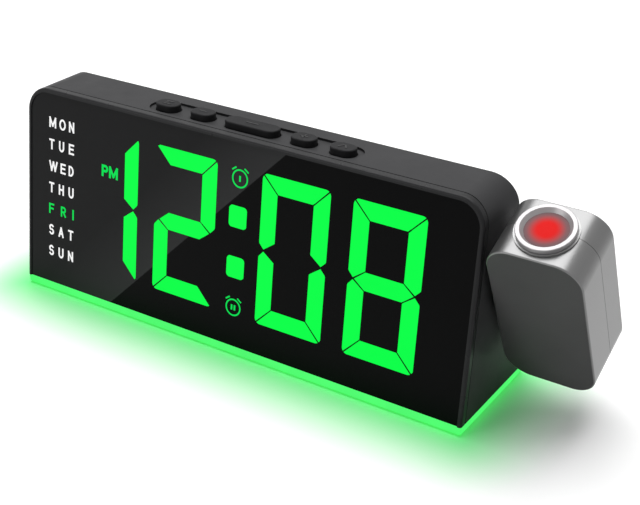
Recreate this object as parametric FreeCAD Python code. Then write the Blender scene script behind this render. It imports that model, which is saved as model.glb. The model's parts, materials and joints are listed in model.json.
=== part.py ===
import FreeCAD, Part
import math
import os

from FreeCAD import Vector

# A projection alarm clock: a wedge-shaped digital clock with a lit base and a swivelling projector head.
# Millimetres, +Z up, +X to the clock's right as seen from the front, +Y to its back.
# The origin is on the table, under the middle of the overall box.

# Clock body
BODY_W = 180.0
BODY_DEPTH = 44.0
BODY_TOP_DEPTH = 20.6
FRONT_LEAN = 9.3
BODY_H = 71.8
CORNER_R = 9.0
WALL = 2.2
FOOT_PROUD = 0.8
STRIP_H = 2.5
SEAM_W = 0.4
SEAM_DEEP = 0.35

# Projector head
HEAD_W = 29.9
HEAD_DEPTH = 22.1
HEAD_H = 57.7
HEAD_R = 8.4
HEAD_WALL = 1.8
HEAD_TILT = 23.9
HEAD_GAP = 2.4
HEAD_SEAM = 1.0
HEAD_SEAM_W = 0.14
HEAD_SEAM_DEEP = 0.12
HINGE_IN = 12.3
HINGE_BELOW_TOP = 32.1
EDGE_SOFT = 0.5

# Where things are
OVERALL_W = BODY_W + HEAD_GAP + HEAD_W
LEFT = -OVERALL_W / 2
RIGHT = LEFT + BODY_W
STRIP_Z = FOOT_PROUD
BODY_Z = STRIP_Z + STRIP_H
TOP_Z = BODY_Z + BODY_H
FRONT_SLOPE = FRONT_LEAN / BODY_H
BACK_SLOPE = (BODY_DEPTH - FRONT_LEAN - BODY_TOP_DEPTH) / BODY_H
HINGE_UP = TOP_Z - HINGE_BELOW_TOP
HINGE_BACK = BODY_DEPTH - BACK_SLOPE * (HINGE_UP - BODY_Z) - HINGE_IN
TILT_COS = math.cos(math.radians(HEAD_TILT))
TILT_SIN = math.sin(math.radians(HEAD_TILT))
HEAD_REACH = HEAD_DEPTH / 2 * TILT_COS + HEAD_H / 2 * TILT_SIN
NEAREST = min(0.0, HINGE_BACK - HEAD_REACH)
FURTHEST = max(BODY_DEPTH, HINGE_BACK + HEAD_REACH)
FRONT = -(NEAREST + FURTHEST) / 2
BACK = FRONT + BODY_DEPTH
HINGE_Y = FRONT + HINGE_BACK
FAR = 400.0
PAST = 5.0
FUSE = 0.5

# Front of the clock: depths are measured back from the leaning front plane
BEZEL_W = 1.4
BEZEL_T = 3.0
LEDGE_W = 2.0
WINDOW_SUNK = 0.4
WINDOW_T = 2.0
FIT = 0.05
GUIDE_END = 7.0
FRAME_END = 8.0
BOARD_T = 1.6
LED_T = 0.8

# Display layout: places across the body are shares of its width, heights are up from its foot
DIGIT_RIGHTS = (0.2833 * BODY_W, 0.4678 * BODY_W, 0.7100 * BODY_W, 0.8983 * BODY_W)
DIGIT_W = 0.1422 * BODY_W
DIGIT_LOW = 11.1
DIGIT_ABOVE = 9.3
DIGIT_H = BODY_H - DIGIT_LOW - DIGIT_ABOVE
SEGMENT_W = 5.9
SEGMENT_GAP = 0.5
SEGMENT_NOSE = 1.8
SEGMENT_ROUND = 1.2
DIGIT_ROUND = 2.0
GUIDE_R = 1.3
COLON_X = 0.5178 * BODY_W
COLON_W = 7.0
COLON_H = 7.4
COLON_LOWS = (0.338 * BODY_H, 0.581 * BODY_H)
GUIDE_CLEAR = 0.1
LIT = (
    ("b", "c"),
    ("a", "b", "g", "e", "d"),
    ("a", "b", "c", "d", "e", "f"),
    ("a", "b", "c", "d", "e", "f", "g"),
)
DIGIT_NAMES = ("hour_tens", "hour_ones", "minute_tens", "minute_ones")
FRAME_SIDE = 14.0
FRAME_LOW = 5.0
FRAME_ABOVE = 8.4
CHIP_W = 12.0
CHIP_T = 1.4
LAMP_W = 2.2

# Buttons in their tray on the top
TRAY_X = 90.8
TRAY_BACK = 18.9
TRAY_L = 83.4
TRAY_W = 10.2
TRAY_DEEP = 0.8
BUTTON_W = 6.2
BUTTON_L = 9.0
SNOOZE_L = 20.8
BUTTON_PROUD = 1.6
BUTTON_CLEAR = 0.25
BUTTON_FLANGE = 1.0
BUTTON_FLANGE_T = 0.8
BUTTON_TRAVEL = 0.6
BUTTON_SPOTS = (
    ("set_button", -34.8, BUTTON_L),
    ("minus_button", -20.1, BUTTON_L),
    ("snooze_button", 0.0, SNOOZE_L),
    ("plus_button", 20.1, BUTTON_L),
    ("projection_button", 34.8, BUTTON_L),
)
REST_GAP = 0.1
SWITCH_L = 4.5
SWITCH_W = 3.5
SWITCH_T = 1.3
PLUNGER_R = 1.0
PLUNGER_T = 0.5
KEY_BOARD_T = 1.0
KEY_BOARD_W = 12.0
KEY_BOARD_PAST = 12.0
POST_R = 2.3
POST_IN = 5.0
SCREW_R = 1.0
SCREW_HEAD_R = 1.9
SCREW_HEAD_T = 1.2
SCREW_CLEAR = 0.2
SCREW_SINK = 1.0
SCREW_CROSS_ARM = 1.3
SCREW_CROSS_HALF = 0.3
SCREW_CROSS_DEEP = 0.5
KEY_SCREW_PAST = 2.5
BUTTON_SOFT = 0.45

# Base of the clock
RING_WALL = 2.4
RING_UP = 4.0
RING_UP_T = 1.4
PLATE_T = 1.4
PLATE_LIFT = 0.4
PLATE_Z = STRIP_Z + PLATE_LIFT
FOOT_R = 5.0
FOOT_SIDE_IN = 20.0
FOOT_EDGE_IN = 11.0
FOOT_DEEP = 0.6
BASE_SCREW_LONG = 6.0
NIGHT_BOARD_T = 1.0
NIGHT_END_IN = 20.0
NIGHT_SIDE_IN = 14.0
NIGHT_LED = (3.0, 1.4, 1.6)
NIGHT_LED_STEP = 20.0
BOSS_R = 3.2
BOSS_IN = 9.0
BOSS_H = 10.0
BOSS_CLEAR = 0.3
BASE_SCREW_SINK = 0.5
BASE_SCREW_PROUD = 0.3
RING_INSET = 0.1
RING_BACK_IN = 2.2

# Rear cover, its vent, battery door and socket
REAR_T = 2.2
REAR_SUNK = 0.6
DOOR_W = 34.0
DOOR_H = 26.0
DOOR_FROM_END = 50.0
DOOR_X = BODY_W / 2 - DOOR_FROM_END
DOOR_UP = 12.0
DOOR_T = 1.4
DOOR_CLEAR = 0.25
DOOR_LEDGE = 1.4
NOTCH_L = 12.0
NOTCH_W = 2.4
NOTCH_IN = 3.0
NOTCH_DEEP = 0.6
CLIP_W = 8.0
CLIP_T = 0.8
CELL_ROOM = 0.8
CELL_R = 10.0
CELL_T = 3.2
TRAY_FLOOR_T = 1.2
VENT_FROM_END = 52.0
VENT_X = VENT_FROM_END - BODY_W / 2
VENT_UP = 34.0
VENT_COUNT = 7
VENT_STEP = 3.0
VENT_L = 20.0
VENT_W = 1.3
BUZZER_R = 11.0
BUZZER_T = 4.0
SOCKET_FROM_END = 24.0
SOCKET_X = SOCKET_FROM_END - BODY_W / 2
SOCKET_UP = 14.0
SOCKET_W = 9.0
SOCKET_H = 3.4
SOCKET_WALL = 0.35
SOCKET_DEEP = 7.4
TONGUE = (6.6, 0.7, 5.0)
REAR_SCREW_IN = 8.0
REAR_SCREW_LOW = 13.0
REAR_SCREW_BELOW_TOP = 13.2
REAR_SCREW_LONG = 6.0
REAR_BOSS_L = 9.0
REAR_SCREW_PROUD = 0.1
COVER_CUT = 8.0
DOOR_R = 1.0
CELL_TRAY_SUNK = 0.4
CELL_TRAY_R = 1.5
CLIP_GAP = 0.1
BUZZER_RIM = 1.2
SOCKET_SUNK = 0.2
SOCKET_BACK_T = 1.0
SOCKET_BOARD_W = 16.0
SOCKET_BOARD_T = 1.2
SOCKET_BOARD_PAST = 1.0

# Hinge
SPINDLE_R = 4.5
SPINDLE_BORE_R = 2.5
RUNNING = 0.06
BUSH_R = 7.0
BUSH_FLANGE_R = 9.0
BUSH_FLANGE_T = 1.5
COLLAR_R = 7.6
COLLAR_GAP = 0.15
KEEPER_R = 6.6
KEEPER_T = 1.6
WASHER_R = 7.5
WASHER_T = 0.6
NUT_R = 7.5
NUT_T = 3.0
NUT_FLAT = 6.0
SPINDLE_PAST = 0.6

# Lens and the projector inside the head
LENS_BEZEL_R = 9.5
LENS_BEZEL_T = 0.6
BEZEL_NECK_R = 8.0
RING_R = 8.9
RING_T = 1.4
RING_GAP = 0.1
NECK_R = 7.0
NECK_BORE_R = 6.0
NECK_END = 5.0
LENS_R = 6.5
LENS_EDGE_T = 0.4
LENS_DOME = 0.15
LENS_SEAT_DEEP = 1.6
RING_MOUTH_R = 7.6
KEEP_RING_R = 7.7
KEEP_RING_T = 0.8
TUNNEL_R = 7.6
TUNNEL_BORE_R = 6.2
TUNNEL_LOW = -15.0
PROJECTOR_BOARD_T = 1.2
PROJECTOR_LED_R = 2.5
SLIDE_T = 1.0
SLIDE_Z = 4.0
CONDENSER_Z = -6.0
CONDENSER_T = 2.4
LEDGE_BLOCK = 3.0
LEDGE_BITE = 0.2
NECK_BELOW_WALL = 1.2
RING_SOFT = 0.25
BOARD_ROOM = 0.3
TUNNEL_GAP = 0.5


def box(x0, x1, y0, y1, z0, z1):
    return Part.makeBox(x1 - x0, y1 - y0, z1 - z0, Vector(x0, y0, z0))


def fuse(shapes):
    whole = shapes[0]
    for other in shapes[1:]:
        whole = whole.fuse(other)
    return whole.removeSplitter()


def outline(points, radii):
    """A closed wire through the points of the XY plane, with an arc of its own radius at each corner."""
    count = len(points)
    edges = []
    starts, ends = [], []
    for i, (corner, r) in enumerate(zip(points, radii)):
        here = Vector(*corner, 0)
        before = (Vector(*points[i - 1], 0) - here).normalize()
        after = (Vector(*points[(i + 1) % count], 0) - here).normalize()
        if r <= 0:
            starts.append(here)
            ends.append(here)
            edges.append(None)
            continue
        half = before.getAngle(after) / 2
        reach = r / math.tan(half)
        middle = here + (before + after).normalize() * (r / math.sin(half) - r)
        starts.append(here + before * reach)
        ends.append(here + after * reach)
        edges.append(Part.Arc(starts[i], middle, ends[i]).toShape())
    path = []
    for i in range(count):
        if edges[i]:
            path.append(edges[i])
        following = starts[(i + 1) % count]
        if (following - ends[i]).Length > 1e-6:
            path.append(Part.LineSegment(ends[i], following).toShape())
    return Part.Wire(path)


def flat_prism(points, radii, z0, z1):
    """An outline of the XY plane, pulled from z0 to z1."""
    face = Part.Face(outline(points, radii))
    solid = face.extrude(Vector(0, 0, z1 - z0))
    solid.translate(Vector(0, 0, z0))
    return solid


def upright_prism(points, radii):
    """An outline of (x, z) points, pulled through the whole depth of the clock."""
    solid = flat_prism(points, radii, -FAR / 2, FAR / 2)
    solid.rotate(Vector(0, 0, 0), Vector(1, 0, 0), 90)
    return solid


def rounded_bar(x, y, length, width, z0, z1):
    """A bar with round ends, lying along X."""
    r = width / 2
    points = [(x - length / 2, y - r), (x + length / 2, y - r), (x + length / 2, y + r), (x - length / 2, y + r)]
    return flat_prism(points, [r - 1e-4] * 4, z0, z1)


def rounded_box(x0, x1, y0, y1, z0, z1, r):
    return flat_prism([(x0, y0), (x1, y0), (x1, y1), (x0, y1)], [r] * 4, z0, z1)


def cylinder(r, x, y, z0, z1):
    return Part.makeCylinder(r, z1 - z0, Vector(x, y, z0))


def tube(outer, inner, x, y, z0, z1):
    return cylinder(outer, x, y, z0, z1).cut(cylinder(inner, x, y, z0, z1))


def body_outline(inset, low=0.0, bottom_r=0.0):
    """The clock's front outline, set in by a margin: square below, round at its top corners."""
    x0, x1 = LEFT + inset, RIGHT - inset
    z0, z1 = BODY_Z + low, TOP_Z - inset
    r = max(CORNER_R - inset, 0.5)
    return upright_prism([(x0, z0), (x1, z0), (x1, z1), (x0, z1)], [bottom_r, bottom_r, r, r])


def side_prism(points):
    """A polygon of (y, z) points, pulled through the whole width."""
    wire = Part.makePolygon([Vector(-FAR / 2, y, z) for y, z in points + points[:1]])
    return Part.Face(wire).extrude(Vector(FAR, 0, 0))


def front_y(z, depth=0.0):
    return FRONT + (z - BODY_Z) * FRONT_SLOPE + depth


def back_y(z, depth=0.0):
    return BACK - (z - BODY_Z) * BACK_SLOPE - depth


def front_slab(near, far):
    """The layer between two depths behind the leaning front plane."""
    low, high = -FAR / 2, FAR / 2
    return side_prism([(front_y(low, near), low), (front_y(high, near), high),
                       (front_y(high, far), high), (front_y(low, far), low)])


def rear_slab(near, far):
    """The layer between two depths inside the leaning rear plane."""
    low, high = -FAR / 2, FAR / 2
    return side_prism([(back_y(low, near), low), (back_y(high, near), high),
                       (back_y(high, far), high), (back_y(low, far), low)])


def wedge(front_depth, rear_depth):
    """The space between a depth behind the front plane and a depth inside the rear plane."""
    z0, z1 = BODY_Z - 1.0, TOP_Z + 1.0
    return side_prism([(front_y(z0, front_depth), z0), (front_y(z1, front_depth), z1),
                       (back_y(z1, rear_depth), z1), (back_y(z0, rear_depth), z0)])


def place_rear(shape):
    """Moves a shape drawn as seen from behind, with its Z outwards, onto the rear plane."""
    lean = math.atan(BACK_SLOPE)
    s, c = math.sin(lean), math.cos(lean)
    middle = (LEFT + RIGHT) / 2
    matrix = FreeCAD.Matrix(-1, 0, 0, middle, 0, -s, c, BACK, 0, c, s, BODY_Z, 0, 0, 0, 1)
    placed = shape.copy()
    placed.Placement = FreeCAD.Placement(matrix).multiply(shape.Placement)
    return placed


def place_head(shape):
    """Moves a shape drawn upright about the hinge to its tilt beside the clock."""
    turn = FreeCAD.Rotation(Vector(1, 0, 0), HEAD_TILT)
    placed = shape.copy()
    placed.Placement = FreeCAD.Placement(Vector(0, HINGE_Y, HINGE_UP), turn).multiply(shape.Placement)
    return placed


def hinge_cylinder(r, x0, x1):
    return Part.makeCylinder(r, x1 - x0, Vector(x0, HINGE_Y, HINGE_UP), Vector(1, 0, 0))


# Display: segments, colon, window, frame, board

def segment_points(name):
    """The corners of one lit bar inside a digit cell, whose origin is its lower left corner."""
    w, h, t, n = DIGIT_W, DIGIT_H, SEGMENT_W, SEGMENT_NOSE
    mid = h / 2
    slit = SEGMENT_GAP / math.sqrt(2)
    half = SEGMENT_GAP / 2
    # An upright bar: its outer corner, its tip beside the middle bar, and its mitred end at the corner.
    left_high = [
        (0, mid + n + SEGMENT_GAP),
        (n, mid + 1.5 * half),
        (t, mid + t / 2 + 1.5 * half),
        (t, h - t - slit),
        (0, h - slit),
    ]
    level = [
        (n + SEGMENT_GAP, mid),
        (t + half, mid + t / 2),
        (w - t - half, mid + t / 2),
        (w - n - SEGMENT_GAP, mid),
        (w - t - half, mid - t / 2),
        (t + half, mid - t / 2),
    ]
    top = [(slit, h), (w - slit, h), (w - t - slit, h - t), (t + slit, h - t)]
    bars = {
        "f": left_high,
        "b": [(w - x, y) for x, y in left_high],
        "e": [(x, h - y) for x, y in left_high],
        "c": [(w - x, h - y) for x, y in left_high],
        "g": level,
        "a": top,
        "d": [(x, h - y) for x, y in top],
    }
    return bars[name]


def grown(points, margin):
    """The same convex corners, moved out from their middle by about a margin."""
    cx = sum(p[0] for p in points) / len(points)
    cy = sum(p[1] for p in points) / len(points)
    wide = max(p[0] for p in points) - min(p[0] for p in points)
    high = max(p[1] for p in points) - min(p[1] for p in points)
    fx, fy = 1 + 2 * margin / wide, 1 + 2 * margin / high
    return [(cx + (x - cx) * fx, cy + (y - cy) * fy) for x, y in points]


def segment_prism(digit, name, margin=0.0):
    """One bar of a digit, with its outer corners rounded as the whole digit's are."""
    x0 = LEFT + DIGIT_RIGHTS[digit] - DIGIT_W
    z0 = BODY_Z + DIGIT_LOW
    points = grown(segment_points(name), margin)
    radii = [SEGMENT_ROUND] + [0.0] * (len(points) - 1) if name in "bcef" else [0.0] * len(points)
    bar = upright_prism([(x0 + x, z0 + y) for x, y in points], radii)
    low_x, high_x, low_z, high_z = x0 - margin, x0 + DIGIT_W + margin, z0 - margin, z0 + DIGIT_H + margin
    cell = upright_prism([(low_x, low_z), (high_x, low_z), (high_x, high_z), (low_x, high_z)], [DIGIT_ROUND] * 4)
    return bar.common(cell)


def colon_prism(low, margin=0.0):
    x, z = LEFT + COLON_X, BODY_Z + low
    half = COLON_W / 2 + margin
    top = z + COLON_H + margin
    points = [(x - half, z - margin), (x + half, z - margin), (x + half, top), (x - half, top)]
    return upright_prism(points, [GUIDE_R] * 4)


def frame_top():
    return BODY_H - FRAME_ABOVE


def lit_names(digit):
    return LIT[digit]


def dark_names(digit):
    return [n for n in "abcdefg" if n not in LIT[digit]]


def make_display():
    parts = {}
    guide_layer = front_slab(WINDOW_SUNK, GUIDE_END)
    hidden_layer = front_slab(WINDOW_SUNK + WINDOW_T, GUIDE_END)
    window_holes, frame_holes, hidden = [], [], []
    for digit, label in enumerate(DIGIT_NAMES):
        bars = [segment_prism(digit, n).common(guide_layer) for n in lit_names(digit)]
        parts["segments_" + label] = Part.makeCompound(bars)
        window_holes += [segment_prism(digit, n, GUIDE_CLEAR) for n in lit_names(digit)]
        frame_holes += [segment_prism(digit, n, GUIDE_CLEAR) for n in dark_names(digit)]
        hidden += [segment_prism(digit, n).common(hidden_layer) for n in dark_names(digit)]
    parts["segments_unlit"] = Part.makeCompound(hidden)
    parts["colon_dots"] = Part.makeCompound([colon_prism(low).common(guide_layer) for low in COLON_LOWS])
    window_holes += [colon_prism(low, GUIDE_CLEAR) for low in COLON_LOWS]

    inset = BEZEL_W + FIT
    window = body_outline(inset, FIT).common(front_slab(WINDOW_SUNK, WINDOW_SUNK + WINDOW_T))
    for hole in window_holes:
        window = window.cut(hole)
    parts["front_window"] = window

    frame_box = box(LEFT + FRAME_SIDE, RIGHT - FRAME_SIDE, -FAR / 2, FAR / 2,
                    BODY_Z + FRAME_LOW, BODY_Z + frame_top())
    frame = frame_box.common(front_slab(WINDOW_SUNK + WINDOW_T, FRAME_END))
    for hole in window_holes + frame_holes:
        frame = frame.cut(hole)
    parts["display_frame"] = frame
    parts["display_board"] = frame_box.common(front_slab(FRAME_END, FRAME_END + BOARD_T))
    parts["display_leds"] = make_display_leds()
    parts["controller_chip"] = make_chip()
    return parts


def lamp_block(x, z):
    """A square lamp, pulled through the whole depth of the clock."""
    half = LAMP_W / 2
    return box(x - half, x + half, -FAR / 2, FAR / 2, z - half, z + half)


def make_display_leds():
    """One small lamp on the board behind each segment and each dot of the colon."""
    lamps = []
    layer = front_slab(FRAME_END - LED_T, FRAME_END)
    for digit in range(len(DIGIT_RIGHTS)):
        for name in "abcdefg":
            points = segment_points(name)
            x = LEFT + DIGIT_RIGHTS[digit] - DIGIT_W + sum(p[0] for p in points) / len(points)
            z = BODY_Z + DIGIT_LOW + sum(p[1] for p in points) / len(points)
            lamps.append(lamp_block(x, z).common(layer))
    for low in COLON_LOWS:
        x, z = LEFT + COLON_X, BODY_Z + low + COLON_H / 2
        lamps.append(lamp_block(x, z).common(layer))
    return Part.makeCompound(lamps)


def make_chip():
    half = CHIP_W / 2
    x, z = LEFT + COLON_X, BODY_Z + DIGIT_LOW + DIGIT_H / 3
    layer = front_slab(FRAME_END + BOARD_T, FRAME_END + BOARD_T + CHIP_T)
    return box(x - half, x + half, -FAR / 2, FAR / 2, z - half, z + half).common(layer)


# Housing, bezel and base

def make_bezel():
    """The slim rim round the window, with a ledge behind it that the window is glued to."""
    full = body_outline(0.0).common(front_slab(0.0, BEZEL_T - SEAM_W))
    rim = [e for e in full.Edges if edge_on_front(e)]
    full = full.makeFillet(0.8, rim)
    seam = body_outline(SEAM_DEEP).common(front_slab(BEZEL_T - SEAM_W, BEZEL_T))
    opening = body_outline(BEZEL_W, -PAST)
    ledge_end = WINDOW_SUNK + WINDOW_T
    clear = opening.common(front_slab(-PAST, ledge_end))
    behind = body_outline(BEZEL_W + LEDGE_W, BEZEL_W + LEDGE_W).common(front_slab(-PAST, BEZEL_T + PAST))
    return full.fuse(seam).removeSplitter().cut(clear).cut(behind)


def edge_on_front(edge):
    """True for an edge of the front plane that isn't the bottom one."""
    ends = [v.Point for v in edge.Vertexes]
    on_plane = all(abs(p.y - front_y(p.z)) < 1e-4 for p in ends)
    return on_plane and any(p.z > BODY_Z + 1.0 for p in ends)


def button_centre(offset):
    return LEFT + TRAY_X + offset, FRONT + TRAY_BACK


def post_spots():
    reach = TRAY_L / 2 + POST_IN
    return [(LEFT + TRAY_X + side * reach, FRONT + TRAY_BACK) for side in (-1, 1)]


def corner_spots(inset):
    """Four places on the underside, set in from the corners of the clock's footprint."""
    return [(x, y) for x in (LEFT + inset, RIGHT - inset) for y in (FRONT + inset, BACK - inset)]


def foot_spots():
    ys = (FRONT + FOOT_EDGE_IN, BACK - FOOT_EDGE_IN)
    return [(x, y) for x in (LEFT + FOOT_SIDE_IN, RIGHT - FOOT_SIDE_IN) for y in ys]


def rear_screw_spots():
    """Four places on the rear cover, as seen from behind: to the right, and up the slope."""
    reach = BODY_W / 2 - REAR_SCREW_IN
    slope = math.hypot(BODY_H, BODY_DEPTH - FRONT_LEAN - BODY_TOP_DEPTH)
    ups = (REAR_SCREW_LOW, slope - REAR_SCREW_BELOW_TOP)
    return [(side * reach, up) for side in (-1, 1) for up in ups]


def make_housing():
    shell = body_outline(0.0).common(wedge(BEZEL_T, 0.0))
    hollow = body_outline(WALL, -PAST)
    shell = shell.cut(hollow)
    x, y = LEFT + TRAY_X, FRONT + TRAY_BACK
    shell = shell.cut(rounded_bar(x, y, TRAY_L, TRAY_W, TOP_Z - TRAY_DEEP, TOP_Z + 1.0))
    for _, offset, length in BUTTON_SPOTS:
        bx, by = button_centre(offset)
        room = 2 * BUTTON_CLEAR
        shell = shell.cut(rounded_bar(bx, by, length + room, BUTTON_W + room, TOP_Z - WALL - 1.0, TOP_Z + 1.0))
    shell = shell.cut(hinge_cylinder(BUSH_R, RIGHT - WALL - 1.0, RIGHT + 1.0))
    board_top = TOP_Z - WALL - post_length()
    for px, py in post_spots():
        post = cylinder(POST_R, px, py, board_top, TOP_Z - WALL + FUSE)
        shell = shell.fuse(post).cut(cylinder(SCREW_R, px, py, board_top - 1.0, TOP_Z - WALL - 0.3))
    inside = body_outline(WALL - FUSE)
    for bx, by in corner_spots(BOSS_IN):
        boss = cylinder(BOSS_R, bx, by, base_top(), base_top() + BOSS_H)
        toward = LEFT if bx < 0 and bx < (LEFT + RIGHT) / 2 else RIGHT
        rib = box(min(bx, toward), max(bx, toward), by - 1.0, by + 1.0, base_top(), base_top() + BOSS_H)
        post = boss.fuse(rib.common(inside))
        shell = shell.fuse(post).cut(cylinder(SCREW_R, bx, by, base_top() - 1.0, base_top() + BOSS_H - 1.0))
    for u, v in rear_screw_spots():
        boss = cylinder(BOSS_R, u, v, -REAR_SUNK - REAR_T - REAR_BOSS_L, -REAR_SUNK - REAR_T)
        side = BODY_W / 2 - FUSE
        wall_side = side if u > 0 else -side
        rib = box(min(u, wall_side), max(u, wall_side), v - 1.0, v + 1.0,
                  -REAR_SUNK - REAR_T - REAR_BOSS_L, -REAR_SUNK - REAR_T)
        pilot = cylinder(SCREW_R, u, v, -REAR_SUNK - REAR_T - REAR_BOSS_L + 1.0, 1.0)
        shell = shell.fuse(place_rear(boss.fuse(rib))).cut(place_rear(pilot))
    return shell.removeSplitter()


def post_length():
    """How far the key board hangs below the top wall."""
    return REST_GAP + BUTTON_FLANGE_T + BUTTON_TRAVEL + REST_GAP + PLUNGER_T + SWITCH_T


def base_top():
    """The height at which the base plate meets the housing's bosses."""
    return PLATE_Z + PLATE_T


def footprint(inset, z0, z1, r=0.8):
    x0, x1 = LEFT + inset, RIGHT - inset
    y0, y1 = FRONT + inset, BACK - inset
    return rounded_box(x0, x1, y0, y1, z0, z1, max(r - inset, 0.3))


def make_base():
    parts = {}
    ring = footprint(RING_INSET, STRIP_Z, BODY_Z).cut(footprint(RING_WALL, STRIP_Z - 1, BODY_Z + 1))
    upstand_out = WALL + BEZEL_T + FIT
    inner = box(LEFT + WALL + FIT, RIGHT - WALL - FIT, FRONT + upstand_out, BACK - REAR_T - REAR_SUNK - RING_BACK_IN,
                base_top(), BODY_Z + RING_UP)
    x0, x1 = LEFT + WALL + FIT + RING_UP_T, RIGHT - WALL - FIT - RING_UP_T
    core = box(x0, x1, FRONT + upstand_out + RING_UP_T, BACK - REAR_T - REAR_SUNK - RING_BACK_IN - RING_UP_T,
               STRIP_Z - 1, BODY_Z + RING_UP + 1)
    shelf = footprint(WALL, base_top(), BODY_Z)
    ring = ring.fuse(shelf).fuse(inner).cut(core)
    for bx, by in corner_spots(BOSS_IN):
        ring = ring.cut(cylinder(BOSS_R + BOSS_CLEAR, bx, by, STRIP_Z - 1, BODY_Z + RING_UP + 1))
        toward = LEFT if bx < (LEFT + RIGHT) / 2 else RIGHT
        ring = ring.cut(box(min(bx, toward) + WALL, max(bx, toward) - WALL, by - 1.3, by + 1.3,
                            base_top() - 0.01, BODY_Z + RING_UP + 1))
    parts["base_light_ring"] = ring.removeSplitter()

    plate = footprint(RING_WALL + FIT, PLATE_Z, base_top())
    for fx, fy in foot_spots():
        plate = plate.cut(cylinder(FOOT_R + FIT, fx, fy, PLATE_Z - 1, foot_top()))
    for bx, by in corner_spots(BOSS_IN):
        plate = plate.cut(cylinder(SCREW_R + SCREW_CLEAR, bx, by, PLATE_Z - 1, base_top() + 1))
        plate = plate.cut(cylinder(SCREW_HEAD_R + SCREW_CLEAR, bx, by, PLATE_Z - 1, PLATE_Z + BASE_SCREW_SINK))
    parts["base_plate"] = plate
    parts["rubber_feet"] = Part.makeCompound([cylinder(FOOT_R, x, y, 0, foot_top()) for x, y in foot_spots()])
    parts["base_screws"] = Part.makeCompound([
        cylinder(SCREW_HEAD_R, x, y, PLATE_Z - BASE_SCREW_PROUD, PLATE_Z + BASE_SCREW_SINK).fuse(
            cylinder(SCREW_R, x, y, PLATE_Z + BASE_SCREW_SINK, base_top() + BASE_SCREW_LONG))
        for x, y in corner_spots(BOSS_IN)])
    parts.update(make_night_light())
    return parts


def foot_top():
    """The height of the bottom of the pockets that hold the feet."""
    return PLATE_Z + FOOT_DEEP


def make_night_light():
    """The narrow board on the base plate, and its row of side-lit lamps against the light ring."""
    y0, y1 = FRONT + NIGHT_SIDE_IN, BACK - NIGHT_SIDE_IN
    x0, x1 = LEFT + NIGHT_END_IN, RIGHT - NIGHT_END_IN
    z0 = base_top()
    board = box(x0, x1, y0, y1, z0, z0 + NIGHT_BOARD_T)
    long, deep, tall = NIGHT_LED
    lamps = []
    count = int((x1 - x0) // NIGHT_LED_STEP)
    for i in range(count):
        x = x0 + (i + 0.5) * (x1 - x0) / count
        for y in (y0, y1 - deep):
            lamps.append(box(x - long / 2, x + long / 2, y, y + deep, z0 + NIGHT_BOARD_T, z0 + NIGHT_BOARD_T + tall))
    return {"night_light_board": board, "night_light_leds": Part.makeCompound(lamps)}


# Buttons

def make_buttons():
    parts = {}
    wall_under = TOP_Z - WALL
    switches = []
    board_top = wall_under - post_length()
    for name, offset, length in BUTTON_SPOTS:
        x, y = button_centre(offset)
        cap = rounded_bar(x, y, length, BUTTON_W, wall_under - REST_GAP - BUTTON_FLANGE_T, TOP_Z + BUTTON_PROUD)
        rim = [e for e in cap.Edges if all(abs(v.Point.z - TOP_Z - BUTTON_PROUD) < 1e-4 for v in e.Vertexes)]
        cap = cap.makeFillet(BUTTON_SOFT, rim)
        grow = 2 * BUTTON_FLANGE
        flange_top = wall_under - REST_GAP
        flange = rounded_bar(x, y, length + grow, BUTTON_W + grow, flange_top - BUTTON_FLANGE_T, flange_top)
        parts[name] = cap.fuse(flange).removeSplitter()
        body = box(x - SWITCH_L / 2, x + SWITCH_L / 2, y - SWITCH_W / 2, y + SWITCH_W / 2,
                   board_top, board_top + SWITCH_T)
        plunger = cylinder(PLUNGER_R, x, y, board_top + SWITCH_T, board_top + SWITCH_T + PLUNGER_T)
        switches.append(body.fuse(plunger))
    parts["tact_switches"] = Part.makeCompound(switches)
    spots = post_spots()
    y = FRONT + TRAY_BACK
    board = box(spots[0][0] - KEY_BOARD_PAST / 2, spots[1][0] + KEY_BOARD_PAST / 2, y - KEY_BOARD_W / 2 + 0.6,
                y + KEY_BOARD_W / 2, board_top - KEY_BOARD_T, board_top)
    screws = []
    for px, py in spots:
        board = board.cut(cylinder(SCREW_R + SCREW_CLEAR, px, py, board_top - PAST, board_top + PAST))
        head = cylinder(SCREW_HEAD_R, px, py, board_top - KEY_BOARD_T - SCREW_HEAD_T, board_top - KEY_BOARD_T)
        screws.append(head.fuse(cylinder(SCREW_R, px, py, board_top - KEY_BOARD_T, board_top + KEY_SCREW_PAST)))
    parts["key_board"] = board
    parts["key_board_screws"] = Part.makeCompound(screws)
    return parts


# Rear cover and what it carries

def cell_floor():
    """The depth of the battery tray's inner floor, inwards from the rear plane."""
    return -REAR_SUNK - DOOR_T - CELL_T - CELL_ROOM


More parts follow.
